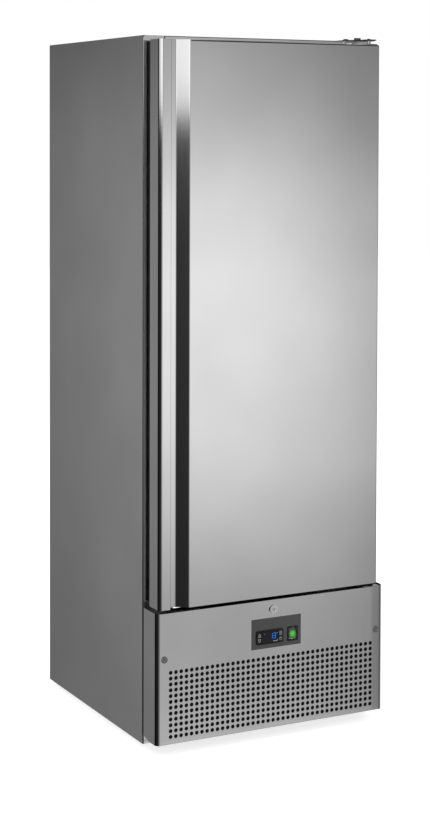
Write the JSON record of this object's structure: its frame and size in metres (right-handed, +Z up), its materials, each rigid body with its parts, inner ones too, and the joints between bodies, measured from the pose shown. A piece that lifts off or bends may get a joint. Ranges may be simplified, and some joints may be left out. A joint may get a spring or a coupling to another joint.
{
  "type": "upright freezer",
  "caption": "Upright stainless storage freezer with a hinged insulated door, full-height handle recess, perforated front cover with lock, controller and lit switch, wire shelves and feet.",
  "frame": {"origin": "centre of the bounding box's base, on the floor", "axes": "+Z up; the door and the front cover face -Y; +X is to the right for someone who faces the door, on the hinge side"},
  "size_m": [0.684, 0.7074, 1.846],
  "materials": {
    "stainless": "brushed upright",
    "galvanised": "dull galvanised sheet",
    "zinc": "bright zinc plated steel",
    "hinge_steel": "dark steel",
    "dark_bolt": "dark oiled steel",
    "screw": "dull grey",
    "foam": "rigid foam",
    "white_liner": "satin",
    "seal": "matt",
    "grommet": "matt",
    "black_plastic": "matt",
    "control_black": "satin",
    "plate_grey": "matt",
    "window": "glossy",
    "keys": "matt",
    "lit_green": "lit from inside",
    "clear_cap": "clear",
    "compressor_black": "gloss black enamel",
    "motor": "dull steel",
    "copper": "bare copper",
    "fins": "bare fins",
    "wire_white": "white plastic coating",
    "nickel": "satin nickel"
  },
  "bodies": {
    "cabinet": {"side_panel_left": "stainless", "side_panel_right": "stainless", "top_panel": "stainless", "back_panel": "galvanised", "base_plate": "galvanised", "top_rail": "stainless", "bottom_rail": "stainless", "cabinet_foam": "foam", "inner_liner": "white_liner", "rear_grille": "galvanised", "power_inlet": "black_plastic", "condenser_coil": "fins", "fan_shroud": "galvanised", "condenser_fan_motor": "motor", "compressor": "compressor_black", "compressor_grommets": "grommet", "terminal_box": "black_plastic", "refrigerant_pipes": "copper", "drip_tray": "black_plastic", "evaporator_cover": "white_liner", "evaporator_coil": "fins", "evaporator_fan_motor": "motor", "drain_tube": "black_plastic", "shelf_rails": "zinc", "shelf_clips": "zinc", "wire_shelf_1": "wire_white", "wire_shelf_2": "wire_white", "wire_shelf_3": "wire_white", "wire_shelf_4": "wire_white", "front_cover": "stainless", "air_filter": "black_plastic", "cover_brackets": "galvanised", "cover_screws": "screw", "control_plate": "plate_grey", "controller_body": "control_black", "display_window": "window", "switch_housing": "control_black", "switch_cap": "clear_cap", "lock_barrel": "nickel", "top_hinge": "hinge_steel", "bottom_hinge": "zinc", "hinge_bolts": "dark_bolt"},
    "door": {"door_skin": "stainless", "door_foam": "foam", "door_liner": "white_liner", "door_seal": "seal", "door_end_caps": "stainless", "hinge_bushes": "black_plastic"},
    "lock": {"lock_plug": "nickel"},
    "rocker": {"switch_rocker": "lit_green"},
    "key_up_body": {"key_up": "keys"},
    "key_down_body": {"key_down": "keys"},
    "key_set_body": {"key_set": "keys"},
    "key_power_body": {"key_power": "keys"},
    "condenser_fan_body": {"condenser_fan": "black_plastic"},
    "evaporator_fan_body": {"evaporator_fan": "white_liner"},
    "foot_1": {"foot_front_left": "zinc"},
    "foot_2": {"foot_front_right": "zinc"},
    "foot_3": {"foot_rear_left": "zinc"},
    "foot_4": {"foot_rear_right": "zinc"}
  },
  "joints": [
    {"name": "door_hinge", "type": "hinge", "parent": "cabinet", "child": "door", "pos_m": [0.306, -0.31275, 1.1], "axis": [0, 0, 1], "range_deg": [0, 105], "stiffness_Nm_per_rad": 4, "springref_deg": -11.46},
    {"name": "lock_turn", "type": "hinge", "parent": "cabinet", "child": "lock", "pos_m": [0, -0.34675, 0.343], "axis": [0, -1, 0], "range_deg": [0, 90]},
    {"name": "rocker_tilt", "type": "hinge", "parent": "cabinet", "child": "rocker", "pos_m": [0.0565, -0.34475, 0.2728], "axis": [1, 0, 0], "range_deg": [0, 16]},
    {"name": "key_up_press", "type": "slide", "parent": "cabinet", "child": "key_up_body", "axis": [0, 1, 0], "range_m": [0, 0.0005], "stiffness_N_per_m": 200, "springref_m": -0.0003},
    {"name": "key_down_press", "type": "slide", "parent": "cabinet", "child": "key_down_body", "axis": [0, 1, 0], "range_m": [0, 0.0005], "stiffness_N_per_m": 200, "springref_m": -0.0003},
    {"name": "key_set_press", "type": "slide", "parent": "cabinet", "child": "key_set_body", "axis": [0, 1, 0], "range_m": [0, 0.0005], "stiffness_N_per_m": 200, "springref_m": -0.0003},
    {"name": "key_power_press", "type": "slide", "parent": "cabinet", "child": "key_power_body", "axis": [0, 1, 0], "range_m": [0, 0.0005], "stiffness_N_per_m": 200, "springref_m": -0.0003},
    {"name": "condenser_fan_spin", "type": "hinge", "parent": "cabinet", "child": "condenser_fan_body", "pos_m": [0.09, -0.18275, 0.17], "axis": [0, 1, 0], "continuous": true},
    {"name": "evaporator_fan_spin", "type": "hinge", "parent": "cabinet", "child": "evaporator_fan_body", "pos_m": [0, -0.04175, 1.68], "axis": [0, 0, 1], "continuous": true},
    {"name": "foot_1_level", "type": "slide", "parent": "cabinet", "child": "foot_1", "axis": [0, 0, -1], "range_m": [0, 0.02]},
    {"name": "foot_2_level", "type": "slide", "parent": "cabinet", "child": "foot_2", "axis": [0, 0, -1], "range_m": [0, 0.02]},
    {"name": "foot_3_level", "type": "slide", "parent": "cabinet", "child": "foot_3", "axis": [0, 0, -1], "range_m": [0, 0.02]},
    {"name": "foot_4_level", "type": "slide", "parent": "cabinet", "child": "foot_4", "axis": [0, 0, -1], "range_m": [0, 0.02]}
  ]
}
